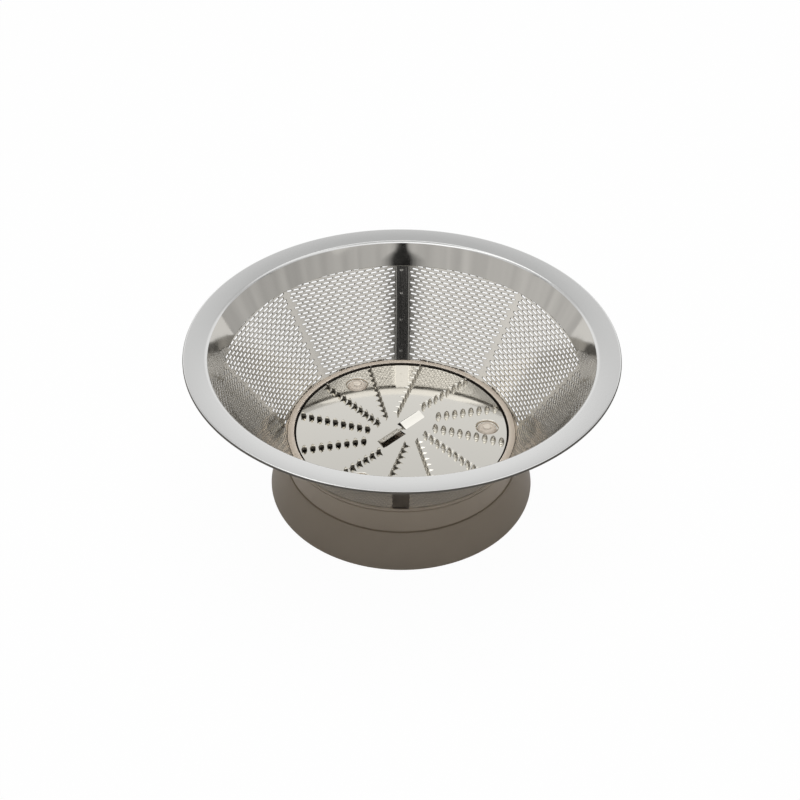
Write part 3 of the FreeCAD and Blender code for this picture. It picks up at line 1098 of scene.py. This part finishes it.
def make_base(plastic, staked, gap_shade):
    """The moulding: turned body with ribs and posts joined on and the drive slots cut out."""
    body = turned(base_section(), ring_segments)
    base = make_object("base_moulding", body, (plastic, staked, gap_shade))
    stakes = stake_places()
    rib_low = Vector((boss_radius - boss_wall / 2, -rib_thickness / 2, floor_bottom - rib_height))
    rib_high = Vector((collar_radius - base_wall / 2, rib_thickness / 2, floor_bottom + floor_thickness / 2))
    added = [make_box(rib_low, rib_high, 2 * math.pi * i / rib_count) for i in range(rib_count)]
    for middle in stakes:
        stake = turned(stake_section(), stake_segments)
        added.append(Shape([p + middle for p in stake.points], stake.faces))
    dog_low = Vector((bore_radius + dog_web, -dog_width / 2, boss_recess - dog_depth))
    dog_high = Vector((bore_radius + dog_web + boss_wall, dog_width / 2, boss_recess + dog_depth))
    removed = [make_box(dog_low, dog_high, 2 * math.pi * (i + 0.5) / dog_count) for i in range(dog_count)]
    combine(base, joined_tools("added", added, plastic), "UNION")
    combine(base, joined_tools("removed", removed, plastic), "DIFFERENCE")
    # Faces in the gap round the disc get the painted gap shade; the stakes' heads get the staked plastic with
    # its painted shade and highlight.
    for polygon in base.data.polygons:
        place = polygon.center / MM
        away = min((place - middle).xy.length for middle in stakes)
        by_disc = disc_radius - 2 * relief_overhang < place.xy.length < lip_radius + gap_margin
        in_gap = by_disc and mesh_foot - floor_drop < place.z < disc_top
        on_stake = away < stake_head + stake_gap and place.z > disc_bottom
        polygon.material_index = GAP if in_gap else STAKE if on_stake else MOULDED
    shade(base.data)
    return base


def dress(piece, node):
    """Fixes a piece to the basket and hides the frame's part that it stands for."""
    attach(piece, "root")
    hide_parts(node)


# Pieces
satin_steel = satin_pressed_stainless()
polished_steel = polished_stainless()
etched_steel = etched_stainless()
# Cut steel darkened as painted shade: slot walls, sheared edges and punched tooth flanks.
slot_wall_shade_steel = shaded_cut_stainless("stainless_foil_acid_cut_painted_shade", "7d7a74")
sheared_shade_steel = shaded_cut_stainless("stainless_sheet_sheared_painted_shade", "5c5954")
flank_shade_steel = shaded_cut_stainless("stainless_sheet_punched_painted_shade", "b3afa7")
seam_shade_steel = seam_shade_stainless()
strip_steel = rolled_strip_stainless()
disc_steel = mirror_disc_stainless()
taupe = taupe_moulded_plastic()
staked_taupe = taupe_staked_plastic()
dress(make_rim(satin_steel, polished_steel, sheared_shade_steel), "rim_ring")
for half, start in (("left", math.pi / 2), ("right", -math.pi / 2)):
    screen = make_screen("mesh_screen_" + half, start, etched_steel, slot_wall_shade_steel, seam_shade_steel)
    dress(screen, "mesh_half_" + half)
for end, side in (("back", math.pi / 2), ("front", -math.pi / 2)):
    dress(make_seam_strip("seam_cover_" + end, side, strip_steel), "seam_strip_" + end)
dress(make_grating_disc(disc_steel, sheared_shade_steel, flank_shade_steel), "grating_disc")
dress(make_base(taupe, staked_taupe, gap_shade_plastic()), "base_hub")

# Camera at the photograph's place, in metres and radians
camera_place = Vector((0, -0.43446, 0.39465))
camera_pitch = 0.67845
camera_yaw = -0.00168
camera_roll = 0.00671
focal_pixels = 1322.9
frame_pixels = 800
sensor_width = 36.0


def make_camera():
    """Camera that looks at the basket as the photograph does."""
    lens = bpy.data.cameras.new("camera")
    lens.sensor_width = sensor_width
    lens.lens = focal_pixels / frame_pixels * sensor_width
    camera = bpy.data.objects.new("camera", lens)
    level = Matrix.Rotation(-camera_yaw, 4, "Z") @ Matrix.Rotation(math.pi / 2 - camera_pitch, 4, "X")
    turn = level @ Matrix.Rotation(camera_roll, 4, "Z")
    camera.matrix_world = Matrix.Translation(camera_place) @ turn
    bpy.context.scene.collection.objects.link(camera)
    bpy.context.scene.camera = camera


# Studio, in metres
floor_size = 8.0
floor_glow = 0.975
ambient_light = 0.155
sky_high = 0.6
sky_fall_start = 0.5
sky_fall_end = 0.69
softbox_size = 1.3
softbox_height = 1.5
softbox_back = 0.15
softbox_power = 18.5
top_card_low = (-0.8, -1.3)
top_card_high = (1.3, 0.85)
top_card_open_low = (-0.4, -0.35)
top_card_open_high = (0.4, 0.42)
top_card_left = 2.1
top_card_right = 0.6
dark_shape = ((0.03, 0.16), (0.036, 0.1), (0.05, 0.08), (0.09, 0.062), (0.12, 0.04), (0.14, -0.12))
dark_shades = ((1.0, 0.55), (0.85, 0.4), (0.7, 0.25), (0.55, 0.1), (0.42, 0.02))
dark_aim_height = 0.05
dark_back = 0.03
dark_step = 0.002
flag_angles = (4, 176)
flag_width = 0.42
flag_low = 1.02
flag_high = 1.4
flag_grey = 0.2
flag_gap = 0.1
curtain_distance = 1.8
curtain_foot = 0.02
curtain_height = 2.2
curtain_half_angle = 125
curtain_steps = 48
curtain_left = 0.76
curtain_right = 0.62
curtain_fold = 0.12
fold_width = 0.2
WHITE = (1, 1, 1, 1)


def cleared_tree(owner):
    """Node tree of a material or world, emptied."""
    owner.use_nodes = True
    owner.node_tree.nodes.clear()
    return owner.node_tree


def seen_by(tree, rays):
    """One for light on any of these kinds of ray, else zero."""
    seen = add_node(tree, "LightPath", {}, rays[0])
    for ray in rays[1:]:
        also = add_node(tree, "LightPath", {}, ray)
        seen = add_node(tree, "Math", {0: seen, 1: also}, operation="MAXIMUM")
    return seen


def make_world():
    """White background for the eye and for the steel, with a low soft light on everything else."""
    world = bpy.data.worlds.new("studio")
    tree = cleared_tree(world)
    shown = seen_by(tree, ("Is Camera Ray", "Is Glossy Ray", "Is Transmission Ray"))
    way = add_node(tree, "TexCoord", {}, "Generated")
    upward = add_node(tree, "SeparateXYZ", {"Vector": way}, "Z")
    fall = add_node(tree, "MapRange", {
        "Value": upward, "From Min": sky_fall_start, "From Max": sky_fall_end,
        "To Min": 1.0, "To Max": sky_high})
    soft = add_node(tree, "Background", {"Color": WHITE, "Strength": ambient_light})
    white = add_node(tree, "Background", {"Color": WHITE, "Strength": fall})
    mixed = add_node(tree, "MixShader", {0: shown, 1: soft, 2: white})
    add_node(tree, "OutputWorld", {"Surface": mixed})
    bpy.context.scene.world = world


def stage_object(name, points, faces, material):
    """Mesh of the studio, in metres."""
    mesh = bpy.data.meshes.new(name)
    mesh.from_pydata(points, [], faces)
    mesh.materials.append(material)
    made = bpy.data.objects.new(name, mesh)
    bpy.context.scene.collection.objects.link(made)
    return made


def make_floor():
    """Pale floor that reads as the white background and keeps a faint shadow."""
    material = bpy.data.materials.new("floor_white_paper")
    tree = cleared_tree(material)
    seen = seen_by(tree, ("Is Camera Ray", "Is Glossy Ray"))
    share = add_node(tree, "Math", {0: seen, 1: floor_glow}, operation="MULTIPLY")
    paper = add_node(tree, "BsdfDiffuse", {"Color": linear("f6f6f6")})
    glow = add_node(tree, "Emission", {"Color": WHITE, "Strength": 1.0})
    mixed = add_node(tree, "MixShader", {0: share, 1: paper, 2: glow})
    add_node(tree, "OutputMaterial", {"Surface": mixed})
    half = floor_size / 2
    stage_object("floor", rectangle((-half, -half), (half, half), 0), [[0, 1, 2, 3]], material)


def make_card(name, points, faces, left, right, fold=0.0):
    """Card that only the steel sees: it glows from one grey at its left to another, with upright folds."""
    material = bpy.data.materials.new(name + "_glow")
    tree = cleared_tree(material)
    place = add_node(tree, "TexCoord", {}, "Object")
    across = add_node(tree, "SeparateXYZ", {"Vector": place}, "X")
    grey = add_node(tree, "MapRange", {
        "Value": across, "From Min": -curtain_distance, "From Max": curtain_distance,
        "To Min": left, "To Max": right})
    level = add_node(tree, "VectorMath", {0: place, 1: (1, 1, 0)}, operation="MULTIPLY")
    folds = add_node(tree, "TexNoise", {"Vector": level, "Scale": 1 / fold_width, "Detail": 1.0})
    share = add_node(tree, "MapRange", {
        "Value": folds, "From Min": noise_low, "From Max": noise_high,
        "To Min": 1 - fold, "To Max": 1 + fold})
    lit = add_node(tree, "Math", {0: grey, 1: share}, operation="MULTIPLY")
    glow = add_node(tree, "Emission", {"Color": WHITE, "Strength": lit})
    add_node(tree, "OutputMaterial", {"Surface": glow})
    card = stage_object(name, points, faces, material)
    for ray in ("camera", "diffuse", "shadow", "transmission"):
        setattr(card, "visible_" + ray, False)


def make_cards():
    """Dim room in front of the basket, with the dark of the camera in it, for the steel to mirror."""
    points = []
    for k in range(curtain_steps + 1):
        a = math.radians(-90 + curtain_half_angle * (2 * k / curtain_steps - 1))
        for z in (curtain_foot, curtain_height):
            points.append((curtain_distance * math.cos(a), curtain_distance * math.sin(a), z))
    faces = [[2 * k, 2 * k + 2, 2 * k + 3, 2 * k + 1] for k in range(curtain_steps)]
    make_card("curtain", points, faces, curtain_left, curtain_right, curtain_fold)
    for angle in flag_angles:
        a = math.radians(angle)
        middle = Vector((math.cos(a), math.sin(a), 0)) * (curtain_distance - flag_gap)
        aside = Vector((-math.sin(a), math.cos(a), 0)) * flag_width / 2
        corners = []
        for side, z in ((-1, flag_low), (1, flag_low), (1, flag_high), (-1, flag_high)):
            corners.append(middle + aside * side + Vector((0, 0, z)))
        make_card("flag_%d" % angle, corners, [[0, 1, 2, 3]], flag_grey, flag_grey)
    towards = (Vector((0, 0, dark_aim_height)) - camera_place).normalized()
    side = towards.cross(Vector((0, 0, 1))).normalized()
    up = side.cross(towards)
    outline = list(dark_shape) + [(-x, y) for x, y in reversed(dark_shape)]
    for number, (share, grey) in enumerate(dark_shades):
        middle = camera_place - towards * (dark_back - dark_step * number)
        ring = [middle + side * x * share + up * y for x, y in outline]
        make_card("dark_card_%d" % number, ring, [list(range(len(ring)))], grey, grey)
    top = rectangle(top_card_low, top_card_high, softbox_height)
    top += rectangle(top_card_open_low, top_card_open_high, softbox_height)
    make_card("top_card", top, quads([loop(0, 4), loop(4, 4)]), top_card_left, top_card_right)


def make_softbox():
    """Large soft light overhead."""
    lamp = bpy.data.lights.new("softbox", "AREA")
    lamp.shape = "SQUARE"
    lamp.size = softbox_size
    lamp.energy = softbox_power
    softbox = bpy.data.objects.new("softbox", lamp)
    softbox.location = (0, softbox_back, softbox_height)
    softbox.visible_glossy = False
    bpy.context.scene.collection.objects.link(softbox)


make_camera()
make_world()
make_floor()
make_cards()
make_softbox()
bpy.context.scene.view_settings.view_transform = "Standard"
